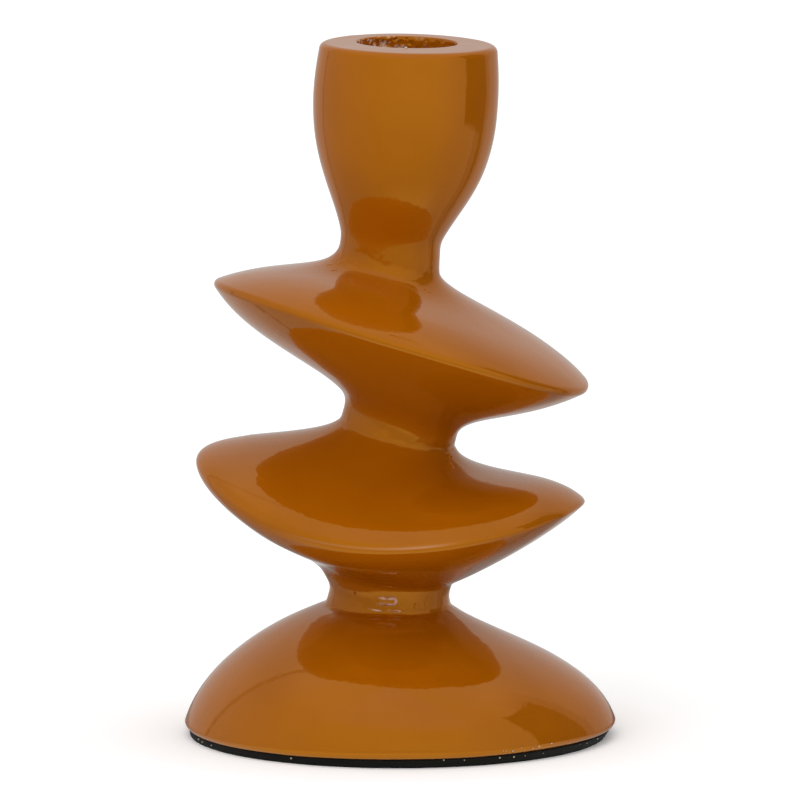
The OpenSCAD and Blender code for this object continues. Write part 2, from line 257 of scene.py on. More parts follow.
def over(before, low, high, after, share=0.065):
    """Hoops over a ridge that carry on a curve from before and run into one towards after."""
    return curve(low, low * (1 + share) + before * -share, high * (1 + share) + after * -share,
                 high, ROUND_STEPS)


lower_under_end = hoop(lower_rim, along=-7.5, grow=-5.8)
lower_top_start = hoop(lower_rim, along=8.4, grow=-3, right=-7.1)
base_side_hoops = curve(hoop(foot, along=WORN_EDGE), hoop(base_side), hoop(base_flare),
                        hoop(lower_joint))
lower_under = curve(hoop(lower_throat), hoop(lower_throat, along=4.8, grow=7.1, right=2.1),
                    lower_under_end, edge_hoop(lower_rim, DISC_EDGE, LOWER_EDGE))
lower_top = curve(hoop(lower_rim, along=0.92, grow=-0.08, right=-0.66), lower_top_start,
                  hoop(middle_joint, along=-7.7, grow=4.9, right=0.3), hoop(middle_joint))
lower_ridge = over(lower_under_end, lower_under[-1], lower_top[0], lower_top_start)
upper_under = curve(hoop(middle_waist), hoop(middle_waist, along=7.4, right=-2.4),
                    hoop(upper_rim, along=-11.7, grow=-12.6),
                    edge_hoop(upper_rim, DISC_EDGE, UPPER_EDGE[0]))
upper_top = curve(edge_hoop(upper_rim, DISC_EDGE, UPPER_EDGE[1]),
                  hoop(upper_rim, along=9.3, grow=-12.3),
                  hoop(upper_joint, along=-6.4, grow=0.3, right=-2.3), hoop(upper_joint))
cup_wall = curve(hoop(upper_waist), hoop(upper_waist, along=11.8, grow=4.3), hoop(cup_swell),
                 hoop(cup_rim, along=-CUP_EDGE))

# Each stretch has its name, its hoops and how many rounds its start is relaxed for.
stretches = [
    ("base", base_side_hoops, 0),
    ("lower joint", [hoop(lower_joint), hoop(lower_waist)], 5),
    ("lower waist", [hoop(lower_waist), hoop(lower_throat)], 10),
    ("lower throat", lower_under, 10),
    ("lower rim", lower_ridge, 0),
    ("lower top", lower_top, 0),
    ("middle joint", [hoop(middle_joint), hoop(middle_waist)], 4),
    ("middle waist", upper_under, 8),
    ("upper rim", rounded(upper_rim, DISC_EDGE, *UPPER_EDGE), 0),
    ("upper top", upper_top, 0),
    ("upper joint", [hoop(upper_joint), hoop(upper_waist)], 14),
    ("upper waist", cup_wall, 14),
]
outside, starts = [], {}
for name, hoops, _ in stretches:
    even = respace(hoops, SPACING_MM)
    starts[name] = max(0, len(outside) - 1)
    outside += even if not outside else even[1:]
for name, _, rounds in stretches:
    relax(outside, starts[name], RELAX_WIDTH, rounds)
print("the outside has", len(outside), "hoops, and its stretches start at", starts)

# %% [markdown]
# ## The inside of the castings
# What the enamel hides is modelled too. Each lower casting ends in a round spigot that stands in
# a socket of the next, and a bore for the rod runs through all of them. Inside and outside
# belong to one closed skin, so a casting is a single chain of hoops that comes back to its
# start. Where a vertical bore meets a leaning joint, its circle is sheared onto the joint's plane.

# %% Hoops of the bores, spigots and sockets
ROD_X = -1.5  # the necks are off centre, so the rod is too
ROD_HOLE = 3.25
ROD_BLIND_Z = UPPER_Z + 11.25  # where its hole in the cup ends
SPIGOT = 6.5
SPIGOT_H = 6
SOCKET = 6.65
SOCKET_H = 6.15
BOSS_ROOF_Z = LOWER_Z - 11  # the roof of the base's hollow, which the washer bears on
BOSS_ROOF = 12
WALL = 4.5
BOARD_RECESS = 46.5  # the step in the foot that takes the board
BOARD_RECESS_H = 2.7
CANDLE_X = 1.6
CANDLE_Y = 1.4
CANDLE = 11.3
CANDLE_DEPTH = 26
LIP = 0.5


def level(x, z, radius, y=0):
    """A level hoop."""
    return hoop(Ring(x, z, radius, y=y))


def on_plane(joint, x, radius, y=0):
    """A circle round a vertical line, sheared onto a joint's leaning plane."""
    across, forth, middle = (joint.matrix.col[k] for k in (0, 1, 3))
    lean, dip = across.z / across.x, forth.z / forth.y
    sheared = level(x, 0, radius, y).matrix
    for k in (0, 1, 3):
        sheared[2][k] = lean * sheared[0][k] + dip * sheared[1][k]
    sheared[2][3] += middle.z - lean * middle.x - dip * middle.y
    return Hoop(sheared)


def spigot_and_bore(joint, joint_z, low_z):
    """From a joint's edge up over the spigot and down the rod's bore."""
    top = joint_z + SPIGOT_H
    return [on_plane(joint, ROD_X, SPIGOT), level(ROD_X, top, SPIGOT),
            level(ROD_X, top, ROD_HOLE), level(ROD_X, low_z, ROD_HOLE)]


def socket(joint, joint_z):
    """From the rod's bore out over the roof of a socket and down to the joint's edge."""
    roof = joint_z + SOCKET_H
    return [level(ROD_X, roof, ROD_HOLE), level(ROD_X, roof, SOCKET),
            on_plane(joint, ROD_X, SOCKET)]


print("the spigots are", 2 * SPIGOT, "mm across, in sockets", 2 * SOCKET, "mm across")

# %% [markdown]
# ## The touch of a hand
# A hand has smoothed these castings before enamelling, so no form is quite even. A slow noise
# carries every point a little way, and a quicker one leaves a faint ripple. Noise depends on the
# place alone, so two castings that share a joint still meet.

# %% How far the surface wanders
WOBBLE = 0.28 * MM
WOBBLE_SCALE = 28
RIPPLE = 0.034 * MM
RIPPLE_SCALE = 150
noise.seed_set(11)  # without a seed of its own, this noise would start from the clock


def wobble(point):
    """How far the hand's smoothing has carried the surface at a point."""
    ripple = noise.noise_vector(point * RIPPLE_SCALE) * RIPPLE
    return noise.noise_vector(point * WOBBLE_SCALE) * WOBBLE + ripple


right_of_foot = Vector((foot.radius, 0, foot.z)) * MM
print("the right of the foot moves by", round(wobble(right_of_foot).length / MM, 2), "mm")

# %% [markdown]
# ## Lumps at the seams and drips
# Enamel gathers where two castings meet and dries there in small lumps. The lumps are a finer noise
# that fades out with the distance from each joint. They push outwards from the neck's own centre, so
# the two castings that share a joint still meet. Single drips are ridges along short lines, and on
# their steep flanks a pale colour is painted in as glints. How strongly a glint is painted at each
# point goes into an attribute, which the enamel's material reads. The same attribute also carries
# the painted highlight on the lower disc's ridge and the painted glints in the bore.

# %% Lumps at the seams
SEAM_REACH = 2.4
SEAM_LUMP = 0.10
SEAM_SCALE = 430
SEAMS = [(joint, hoop(joint).matrix.col[2].to_3d())
         for joint in (lower_joint, middle_joint, upper_joint)]


def seam_lump(point):
    """The lump of enamel at a point near one of the joints."""
    for joint, axis in SEAMS:
        away = point / MM - Vector((joint.x, joint.y, joint.z))
        if abs(away.z) > 4 * SEAM_REACH or away.length > 1.6 * joint.radius:
            continue  # too far from this joint
        height = away.dot(axis)
        flat = away - axis * height
        if flat.length > 0.8 * joint.radius:  # on the outside, not on the spigot
            fade = exp(-(height / SEAM_REACH) ** 2)
            lump = noise.noise(point * SEAM_SCALE) + 0.5 * noise.noise(point * 2.3 * SEAM_SCALE)
            return flat.normalized() * (lump * fade * SEAM_LUMP * MM)
    return Vector()


print("seams:", len(SEAMS))

# %% The drips
# A drip runs from a start to an end, in millimetres. One with a height below nothing is a pit. The
# last number is how strongly a glint is painted on its flanks.
Drip = namedtuple("Drip", "start end width height pale", defaults=(0,))
DRIPS = [Drip((-7.0, -13.6, 32.7), (-1.6, -14.2, 32.6), 0.9, 0.6, 1.0),
         Drip((-8.6, -13.0, 30.9), (-4.3, -14.0, 30.3), 0.22, 0.25, 1.0),
         Drip((-4.2, -14.1, 30.5), (0.0, -14.2, 30.2), 0.24, 0.25, 1.0),
         Drip((5.8, -11.6, 31.4), (6.2, -11.4, 32.9), 0.25, -0.2),
         Drip((3.3, -13.0, 31.2), (3.4, -13.0, 31.6), 0.25, -0.2),
         Drip((-10.2, -11.9, 33.3), (-10.0, -11.9, 34.1), 0.25, -0.2),
         Drip((-2.1, -15.4, 36.1), (-2.0, -15.4, 36.1), 0.2, 0.2),
         Drip((11.0, -9.3, 63.4), (11.9, -10.2, 62.7), 0.5, 0.35),
         Drip((11.2, -6.9, 64.6), (11.5, -6.4, 64.4), 0.4, 0.3),
         Drip((-16.2, -4.6, 107.9), (-15.4, -5.0, 107.8), 0.4, 0.12),
         Drip((-15.0, -8.8, 106.9), (-14.4, -8.8, 107.0), 0.35, -0.12),
         Drip((-13.4, -6.3, 108.5), (-12.6, -6.8, 109.0), 0.5, 0.14),
         Drip((6.0, -10.6, 102.7), (6.5, -10.4, 102.3), 0.45, 0.16),
         Drip((-1.4, -39.6, 95.9), (4.8, -39.4, 94.2), 0.3, 0.15)]


def off_line(point, drip):
    """How far a point lies from a drip's line, in millimetres."""
    start, line = Vector(drip.start), Vector(drip.end) - Vector(drip.start)
    share = min(1, max(0, (point / MM - start).dot(line) / line.length_squared))
    return (point / MM - start - line * share).length


def near_drip(bm, drip, reach):
    """The points of a skin within a reach of a drip's line."""
    start, end = Vector(drip.start) * MM, Vector(drip.end) * MM
    middle, far = (start + end) / 2, (end - start).length / 2 + reach * MM
    return [vert for vert in bm.verts
            if (vert.co - middle).length < far and off_line(vert.co, drip) < reach]


print("drips and pits:", len(DRIPS))

# %% Raise the drips
DRIP_CUTS = 3
DRIP_SKIRT = 1.5  # how far a drip's form reaches, in widths
DRIP_MARGIN = 0.3  # how far the finer skin goes beyond that
FLANK_AT = 0.85  # where its steep flank lies, in widths
FLANK_SOFT = 0.25
PATCH_SCALE = 900


def add_drips(bm):
    """Cut the skin finer round each drip that lies on it, and raise the drip."""
    pale = bm.verts.layers.float["pale"]
    for drip in DRIPS:
        edges = {edge for vert in near_drip(bm, drip, DRIP_SKIRT * drip.width + DRIP_MARGIN)
                 for edge in vert.link_edges}
        if not edges:
            continue
        bmesh.ops.subdivide_edges(bm, edges=list(edges), cuts=DRIP_CUTS, use_grid_fill=True)
        bm.normal_update()
        close = near_drip(bm, drip, DRIP_SKIRT * drip.width)
        steps = []
        for vert in close:
            off = off_line(vert.co, drip) / drip.width
            along = (vert.co.x / MM - drip.start[0]) / (drip.end[0] - drip.start[0])
            # A drip with a painted glint swells from its start towards its end, and the glint
            # painted on its flank is patchy.
            full = max(0, min(1, 1.5 * along - 0.4)) if drip.pale else 1
            patchy = max(0.3, 0.9 + 1.2 * noise.noise(vert.co * PATCH_SCALE))
            glint = drip.pale * full * patchy * exp(-((off - FLANK_AT) / FLANK_SOFT) ** 2)
            vert[pale] = max(vert[pale], min(1, glint))
            steps.append(vert.normal * (drip.height * full * MM * exp(-off ** 6)))
        for vert, step in zip(close, steps):
            vert.co += step


print("a drip's skin is cut", DRIP_CUTS, "times finer")

# %% A painted highlight on the lower disc's ridge
RIDGE = outside[starts["lower top"] - 1]
RIDGE_FRONT_Y = -30  # only the front of the ridge is pale
RIDGE_NEAR = 8  # points further above or below the ridge aren't looked at
HIGHLIGHT_LINE = 0.25
HIGHLIGHT_MIDDLE_X = -7
HIGHLIGHT_HALF = 15


def ridge_highlight(point):
    """How strongly a highlight is painted on the front of the lower disc's ridge at a point."""
    if point.y > RIDGE_FRONT_Y * MM or abs(point.z - RIDGE.matrix[2][3]) > RIDGE_NEAR * MM:
        return 0
    local = RIDGE.matrix.inverted() @ point
    angle = atan2(local.y, local.x)
    spot = RIDGE.matrix @ Vector((cos(angle), sin(angle), 0))
    spot.z += RIDGE.wave * cos(2 * (angle - LOWER_WAVE_AT))
    away = (point - spot).length / (HIGHLIGHT_LINE * MM)
    return exp(-away ** 2 - ((point.x / MM - HIGHLIGHT_MIDDLE_X) / HIGHLIGHT_HALF) ** 4)


print("the ridge's middle is at", round(RIDGE.matrix[2][3] / MM, 1), "mm")

# %% [markdown]
# ## Make a casting's skin
# A casting starts as one circle of a bmesh. Its edges are extruded, and the new circle is carried
# to the next hoop, and so on along the chain; a chain that comes back to its start is welded
# there. Extruding keeps every point in line with the one before, which bridging doesn't promise
# where two circles lie in one plane. Edges that turn by 38 degrees or more are marked sharp, so
# the spigots and sockets stay crisp while the enamel looks smooth.

# %% Loft a chain of hoops
WELD = 0.001 * MM


def settle(circle, one, wave_at):
    """Carry a circle's points to a hoop."""
    for i, vert in enumerate(circle):
        angle = 2 * pi * i / len(circle)
        vert.co = one.matrix @ Vector((cos(angle), sin(angle), 0))
        vert.co.z += one.wave * cos(2 * (angle - wave_at))


def edges_of(bm, circle):
    """The edges round a circle of points."""
    return [bm.edges.get(pair) for pair in zip(circle, circle[1:] + circle[:1])]


def loft(bm, chain, wave_at=0.0, closed=False, sides=SIDES):
    """Extrude a circle from hoop to hoop, and give the first and the last circle."""
    circle = bmesh.ops.create_circle(bm, segments=sides, radius=1)["verts"]
    settle(circle, chain[0], wave_at)
    first = circle
    for one in chain[1:] + chain[:closed]:
        made = bmesh.ops.extrude_edge_only(bm, edges=edges_of(bm, circle))["geom"]
        fresh = {item for item in made if isinstance(item, bmesh.types.BMVert)}
        circle = [next(edge.other_vert(vert) for edge in vert.link_edges
                       if edge.other_vert(vert) in fresh) for vert in circle]
        settle(circle, one, wave_at)
    if closed:
        bmesh.ops.remove_doubles(bm, verts=first + circle, dist=WELD)
    return first, circle


print("points closer than", WELD / MM, "mm are welded")

# %% Close and finish a piece
SHARP_DEGREES = 38


def cap(bm, circle):
    """Close a circle with a fan of triangles."""
    face = bmesh.ops.contextual_create(bm, geom=edges_of(bm, circle))["faces"]
    bmesh.ops.poke(bm, faces=face)


def add_mesh(name, bm):
    """Make an object of a bmesh, which is used up."""
    mesh = bpy.data.meshes.new(name)
    bm.to_mesh(mesh)
    bm.free()
    return add_object(name, mesh)


def finish_piece(bm, name):
    """Turn the normals out, mark the sharp edges and make the object."""
    bmesh.ops.recalc_face_normals(bm, faces=bm.faces)
    for face in bm.faces:
        face.smooth = True
    for edge in bm.edges:
        edge.smooth = edge.calc_face_angle(0) < radians(SHARP_DEGREES)
    open_edges = sum(1 for edge in bm.edges if not edge.is_manifold)
    print(name, "has", len(bm.faces), "faces,", open_edges, "open edges and",
          round(bm.calc_volume() * 1e6, 1), "cubic centimetres")
    return add_mesh(name, bm)


print("edges that turn by", SHARP_DEGREES, "degrees or more stay sharp")

# %% [markdown]
# ## The four castings
# The base is a hollow dome with a thick boss for the nut, and a step inside its foot for the
# board. The discs are solid but for the rod's bore. The cup has a blind hole for the rod from
# below and the candle's bore from above, whose lip is softened.

# %% Cut the chain at the joints
HOLLOW_STEPS = 32
low_cut, middle_cut, top_cut = (starts[name + " joint"] for name in ("lower", "middle", "upper"))
foot_arc = [level(0, FOOT_Z, foot.radius - WORN_EDGE - 0.1)]
foot_arc += rounded(foot._replace(z=foot.z + WORN_EDGE), WORN_EDGE, radians(-90), 0)
hollow = curve(level(ROD_X, BOSS_ROOF_Z, BOSS_ROOF),
               hoop(Ring(0, BOSS_ROOF_Z, BOSS_ROOF + 0.47 * (foot.radius - BOSS_ROOF),
                         lean=5.3)),
               level(0, FOOT_Z + 9.2, base_side.radius - WALL),
               level(0, FOOT_Z, foot.radius - WALL), HOLLOW_STEPS)
hollow = [one for one in hollow if one.matrix[2][3] > (FOOT_Z + BOARD_RECESS_H) * MM]
hollow += [level(0, FOOT_Z + BOARD_RECESS_H, foot.radius - WALL + 0.3),
           level(0, FOOT_Z + BOARD_RECESS_H, BOARD_RECESS), level(0, FOOT_Z, BOARD_RECESS)]
base_chain = (foot_arc[:-1] + outside[:low_cut + 1]
              + spigot_and_bore(outside[low_cut], LOWER_Z, BOSS_ROOF_Z) + hollow)
lower_chain = (outside[low_cut:middle_cut + 1]
               + spigot_and_bore(outside[middle_cut], MIDDLE_Z, LOWER_Z + SOCKET_H)
               + socket(outside[low_cut], LOWER_Z)[1:])
upper_chain = (outside[middle_cut:top_cut + 1]
               + spigot_and_bore(outside[top_cut], UPPER_Z, MIDDLE_Z + SOCKET_H)
               + socket(outside[middle_cut], MIDDLE_Z)[1:])
print("hoops of the base and the discs:", len(base_chain), len(lower_chain), len(upper_chain))

# %% The cup's rim, lip and bore
rim_plane = hoop(cup_rim)
rim_arc = [hoop(cup_rim, CUP_EDGE * (sin(a) - 1), CUP_EDGE * (cos(a) - 1))
           for a in (radians(90) * k / ROUND_STEPS for k in range(1, ROUND_STEPS + 1))]
lip_out = on_plane(rim_plane, CANDLE_X, CANDLE + LIP, CANDLE_Y)
lip_corner = on_plane(rim_plane, CANDLE_X, CANDLE, CANDLE_Y)
bore_top = level(CANDLE_X, RIM_Z - 2 * LIP, CANDLE, CANDLE_Y)
lip_arc = curve(lip_out, lip_out * (1 / 3) + lip_corner * (2 / 3),
                lip_corner * (2 / 3) + bore_top * (1 / 3), bore_top, ROUND_STEPS)
bore_floor = level(CANDLE_X, RIM_Z - CANDLE_DEPTH, CANDLE, CANDLE_Y)
bore = respace([bore_top, bore_floor], SPACING_MM)
floor_rings = [level(CANDLE_X, RIM_Z - CANDLE_DEPTH, CANDLE * k / 8, CANDLE_Y)
               for k in range(7, 0, -1)]
cup_chain = ([level(ROD_X, ROD_BLIND_Z, ROD_HOLE)] + socket(outside[top_cut], UPPER_Z)
             + outside[top_cut:] + rim_arc + respace([rim_arc[-1], lip_out], SPACING_MM)[1:]
             + lip_arc[1:] + bore[1:] + floor_rings)
print("hoops of the cup:", len(cup_chain))

# %% [markdown]
# ## A rough bore
# The candle's bore keeps the coarse skin of the sand mould, and the enamel is thin on it. The
# skin only ever lies behind the candle's own space, so the candle still fits. It is coarser on
# the left, as in the photograph, and it grows finer towards the lip.
# Pale specks on the grains of its upper part are painted glints.

# %% The skin of the bore
BORE_GRAIN = 0.6
COARSE_X, COARSE_WIDTH = 7, 9  # the skin coarsens from this x leftwards, over this width
COARSE_SCALE, FINE_SCALE = 560, 1200
GRAIN_FADE = 0.9  # over this depth below the lip the grain grows to its full height
GLINT_DEPTH = 6  # pale specks lie no deeper than this
GLINT_SCALE = 1300
GLINT_FROM = 0.2
GLINT_MOST = 0.8


def leftward(point):
    """From nothing on the right of the cup to one on its left, where the bore is coarser."""
    return min(1, max(0, (COARSE_X - point.x / MM) / COARSE_WIDTH))


def bore_skin(point):
    """How far the coarse skin of the candle's bore lies behind the candle's own space."""
    out = Vector((point.x - CANDLE_X * MM, point.y - CANDLE_Y * MM, 0))
    low, high = (RIM_Z - CANDLE_DEPTH + 0.3) * MM, (RIM_Z + 0.1) * MM
    if out.length > (CANDLE + LIP + 0.05) * MM or not low < point.z < high:
        return Vector()
    grain = abs(noise.noise(point * COARSE_SCALE)) + 0.8 * abs(noise.noise(point * FINE_SCALE))
    grain *= 0.4 + 0.6 * leftward(point)
    fade = min(1, 0.25 + (high - point.z) / (GRAIN_FADE * MM))
    return out.normalized() * (grain * fade * BORE_GRAIN * MM)


def bore_glints(point):
    """How strongly glints are painted on a point of the bore: pale specks on the grains in its upper
    part.
    """
    away = Vector((point.x - CANDLE_X * MM, point.y - CANDLE_Y * MM)).length
    if away > (CANDLE + 0.3) * MM or point.z < (RIM_Z - GLINT_DEPTH) * MM:
        return 0
    speck = 5 * (noise.noise(point * GLINT_SCALE) - GLINT_FROM)
    return leftward(point) * min(GLINT_MOST, max(0, speck))


left_wall = Vector((CANDLE_X - CANDLE, CANDLE_Y, RIM_Z - GLINT_DEPTH)) * MM
print("on the left the bore's skin lies", round(bore_skin(left_wall).length / MM, 2), "mm deep")

# %% [markdown]
# ## Ease the rim where it is round
# The lower disc has a crisp ridge in front, but its rim is worn round on the left. A loft gives
# one profile all round, so the left side is smoothed afterwards, and more often the further left
# a point lies.

# %% Smooth the left of a rim
EASE_ROUNDS = 30
EASE_BAND = 7  # only this much of the radius is smoothed
EASE_FROM = 0.45  # the share of the radius, to the left, where the smoothing begins
EASE_SPREAD = 0.35


def ease_left(bm, ring):
    """Smooth the left side of a disc's rim, more so further left."""
    middle = Vector((ring.x, ring.y, ring.z)) * MM
    near = [(vert, (middle.x - vert.co.x) / (ring.radius * MM)) for vert in bm.verts
            if (vert.co - middle).length > (ring.radius - EASE_BAND) * MM]
    for k in range(EASE_ROUNDS):
        limit = EASE_FROM + EASE_SPREAD * k / EASE_ROUNDS
        bmesh.ops.smooth_vert(bm, verts=[vert for vert, share in near if share > limit],
                              factor=0.5, use_axis_x=True, use_axis_y=True, use_axis_z=True)


print("rounds of smoothing:", EASE_ROUNDS)

# %% Make the castings
castings = {}
for name, chain, wave_at, closed in (
        ("base_casting", base_chain, 0, True),
        ("lower_disc_casting", lower_chain, LOWER_WAVE_AT, True),
        ("upper_disc_casting", upper_chain, UPPER_WAVE_AT, True),
        ("cup_casting", cup_chain, 0, False)):
    bm = bmesh.new()
    ends = loft(bm, chain, wave_at, closed)
    if not closed:
        for end in ends:
            cap(bm, end)
    pale = bm.verts.layers.float.new("pale")
    for vert in bm.verts:
        # Painted highlights and glints go into the attribute: on the lower disc's ridge and in the
        # bore.
        vert[pale] = max(ridge_highlight(vert.co), bore_glints(vert.co))
        vert.co += wobble(vert.co) + seam_lump(vert.co) + bore_skin(vert.co)
    if name == "lower_disc_casting":
        ease_left(bm, lower_rim)
    bmesh.ops.recalc_face_normals(bm, faces=bm.faces)
    add_drips(bm)
    castings[name] = finish_piece(bm, name)

# %% [markdown]
# ## Put each casting in place of its CAD node
# The smooth castings take the place of the faceted CAD ones, which stay for the physics.

# %% Ride and replace
for name, node in (("base_casting", "base"), ("lower_disc_casting", "lower_disc"),
                   ("upper_disc_casting", "upper_disc"), ("cup_casting", "candle_cup")):
    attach(castings[name], "root")
    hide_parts(node)
print("castings in place:", len(castings))

# %% [markdown]
# ## The felt pad
# A disc of black felt is glued under the foot. It was cut by hand, so its edge wanders a little
# and its corners are frayed. The pad is lofted like the castings, from more and shorter sides, and
# a fine noise pulls its edge in and out by a tenth of a millimetre.

# %% Loft the felt pad
PAD = Ring(-0.4, 0, 47.25)
PAD_TOP = Ring(0.1, 0, 47.95, lean=-0.25)
PAD_H = 2.0
PAD_SIDES = 720
PAD_CORNER = 0.25
PAD_WANDER, WANDER_SCALE = 0.16 * MM, 9
PAD_FRAY, FRAY_SCALE = 0.10 * MM, 2600
PAD_EDGE = 44  # only what lies further out than this was cut by hand
PAD_SPACING = 0.3
PAD_SEAT = 0.1  # how far the middle of the pad's top lies below its edge

low_corner = [edge_hoop(PAD._replace(z=PAD_CORNER), PAD_CORNER, radians(a)) for a in (-90, -45, 0)]
high_corner = [edge_hoop(PAD_TOP._replace(z=PAD_H - PAD_CORNER), PAD_CORNER, radians(a))
               for a in (0, 45, 90)]
pad_chain = ([level(PAD.x, 0, 20), level(PAD.x, 0, 40)] + low_corner[:-1]
             + respace([low_corner[-1], high_corner[0]], PAD_SPACING) + high_corner[1:]
             + [level(PAD.x, PAD_H - PAD_SEAT, 40), level(PAD.x, PAD_H - PAD_SEAT, 20)])
bm = bmesh.new()
for end in loft(bm, pad_chain, sides=PAD_SIDES):
    cap(bm, end)
for vert in bm.verts:
    flat = Vector((vert.co.x - PAD.x * MM, vert.co.y, 0))
    if flat.length > PAD_EDGE * MM:
        out = flat.normalized()
        wander = noise.noise(out * WANDER_SCALE) * PAD_WANDER
        fray = noise.noise(vert.co * FRAY_SCALE) * PAD_FRAY
        vert.co += out * (wander + fray - 0.5 * PAD_FRAY)
felt_pad = finish_piece(bm, "felt_pad")
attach(felt_pad, "root")
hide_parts("foot_pad")

# %% [markdown]
# ## Crumbs of glue, and beads with painted glints
# The glue that holds the felt has squeezed out here and there at the edge of the pad and dried in
# pale crumbs, and a pale drop of it sits on the lip of the cup. Small beads on the foot's enamel
# edge take the same pale colour, which paints the glints of light on them. A crumb is a small
# icosphere that noise has pulled out of shape, half sunk into what it sticks to. All of them are one
# piece.

# %% Scatter the crumbs
Crumb = namedtuple("Crumb", "x y z size")
PAD_BEARINGS = [11.8, 17.5, 27.8, 32.2, 35.8, 42.1, 57.8, 61.5, 68.6, -30.4, -62.3, -68.3, -71.4]
GLINT_BEAD_BEARINGS = [28.3, 29.1, 31.2, 33.8, 37.6, 39.8, 44.2]
LIP_CRUMB = Crumb(1.4, CANDLE_Y - CANDLE - 0.55, RIM_Z - 0.15, 0.5)


def crumb_at(bearing, radius, z, size):
    """A crumb at a bearing from the front and a distance from the axis."""
    turn = radians(bearing)
    return Crumb(radius * sin(turn), -radius * cos(turn), z, size)


# Sines of the bearing stand in for chance, so that crumbs differ in height and size.
crumbs = [crumb_at(b, PAD_TOP.radius - 0.05, (1.6 if b > 0 else 1.1) + 0.25 * sin(7 * b),
                   0.09 + 0.13 * abs(sin(5 * b))) for b in PAD_BEARINGS]
# Beads on the foot's enamel edge, whose pale colour paints the glints on them.
crumbs += [crumb_at(b, foot.radius, FOOT_Z + WORN_EDGE + 0.3 * sin(9 * b),
                    0.08 + 0.14 * abs(sin(4 * b))) for b in GLINT_BEAD_BEARINGS]
crumbs.append(LIP_CRUMB)
bm = bmesh.new()
for crumb in crumbs:
    middle = Vector((crumb.x, crumb.y, crumb.z)) * MM
    lump = bmesh.ops.create_icosphere(bm, subdivisions=2, radius=crumb.size * MM)["verts"]
    for vert in lump:
        pull = 1 + 0.5 * noise.noise((vert.co / MM) * 3.5 + middle * 900)
        vert.co = vert.co * pull + middle
glue_crumbs_and_glint_beads = finish_piece(bm, "glue_crumbs_and_glint_beads")
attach(glue_crumbs_and_glint_beads, "root")  # the record has no slot for glue, so the crumbs have none

# %% [markdown]
# ## A short way to write materials
# A material is a graph of nodes, and graphs are long to write out. So sums on sockets are written
# as Python sums: a wrapped socket turns each operator into a Math node. Any other node comes from
# one method, which sets the node's settings first and then fills its inputs.

# %% Sockets that can be calculated with
class Signal:
    """A node's output that can be added, multiplied and compared like a number."""

    def __init__(self, shader, socket):
        self.shader = shader
        self.socket = socket

    def maths(self, operation, a, b=0.0):
        """The result of a Math node."""
        return self.shader.node("Math", {"operation": operation}, {0: a, 1: b})

    def __add__(self, other):
        return self.maths("ADD", self, other)

    def __sub__(self, other):
        return self.maths("SUBTRACT", self, other)

    def __rsub__(self, other):
        return self.maths("SUBTRACT", other, self)

    def __mul__(self, other):
        return self.maths("MULTIPLY", self, other)

    def __pow__(self, other):
        return self.maths("POWER", self, other)

    __radd__ = __add__
    __rmul__ = __mul__

    def step(self, low, high, at_low=0.0, at_high=1.0):
        """A smooth step of this signal, from one value at low to another at high."""
        return self.shader.node("MapRange", {"interpolation_type": "SMOOTHSTEP"},
                                {"Value": self, "From Min": low, "From Max": high,
                                 "To Min": at_low, "To Max": at_high})


class Shader:
    """One node tree, with the single method that this lesson adds nodes by."""

    def __init__(self, owner):
        owner.use_nodes = True
        self.tree = owner.node_tree
        self.tree.nodes.clear()

    def node(self, kind, settings=None, inputs=None, output=0):
        """Add a node, set its settings, then its inputs, and give one of its outputs."""
        made = self.tree.nodes.new("ShaderNode" + kind)
        for key, value in (settings or {}).items():
            setattr(made, key, value)
        for key, value in (inputs or {}).items():
            if isinstance(value, Signal):
                self.tree.links.new(value.socket, made.inputs[key])
            else:
                made.inputs[key].default_value = value
        return Signal(self, made.outputs[output]) if made.outputs else None

    def mix(self, factor, a, b):
        """Two colours mixed by a signal."""
        return self.node("Mix", {"data_type": "RGBA"}, {0: factor, 6: a, 7: b}, output=2)

    def noise(self, place, scale, detail=2.0, roughness=0.5):
        """Soft noise from 0 to 1."""
        return self.node("TexNoise", None, {"Vector": place, "Scale": scale, "Detail": detail,
                                            "Roughness": roughness})

    def object_place(self):
        """The place of each point in its object's own coordinates."""
        return self.node("TexCoord", output=3)

    def relief(self, height):
        """The normal of a surface whose height is given in metres."""
        return self.node("Bump", None, {"Strength": 1.0, "Distance": 1.0, "Height": height})

    def show(self, surface, kind="Material"):
        """Lead a surface to the tree's output."""
        self.node("Output" + kind, None, {"Surface": surface})

    def principled(self, inputs):
        """Show one principled surface."""
        self.show(self.node("BsdfPrincipled", None, inputs))


def new_material(name):
    """A material and its empty shader."""
    material = bpy.data.materials.new(name)
    return material, Shader(material)


def wear(piece, material):
    """Give a piece its one material."""
    piece.data.materials.clear()
    piece.data.materials.append(material)


# %% [markdown]
# ## The enamel
# The castings wear a thick ochre enamel, brushed on and left to flow. It mirrors its surroundings
# sharply, but the mirror isn't flat: the coat waves over a centimetre or so, it has the fine
# pebbling that painters call orange peel, and a little dust has settled in it as small nibs. The
# enamel is mixed a touch unevenly. The mirror's own colour is warm when seen face on, which the
# specular tint gives, and it turns white towards grazing angles by itself.

# %% Enamel
ENAMEL = (0.350, 0.0950, 0.0002, 1)
ENAMEL_DEEP = (0.325, 0.086, 0.0001, 1)
ENAMEL_TINT = (1.0, 0.455, 0.10, 1)
PAINTED_GLINT_COLOUR = (0.88, 0.66, 0.54, 1)
ENAMEL_IOR = 1.8
WAVE_HEIGHT = 0.05 * MM
PEEL_HEIGHT = 0.024 * MM
NIB_HEIGHT = 0.06 * MM

enamel, shader = new_material("ochre_enamel")
place = shader.object_place()
mottle = shader.noise(place, 55, 3)
colour = shader.mix(mottle.step(0.35, 0.7), ENAMEL, ENAMEL_DEEP)
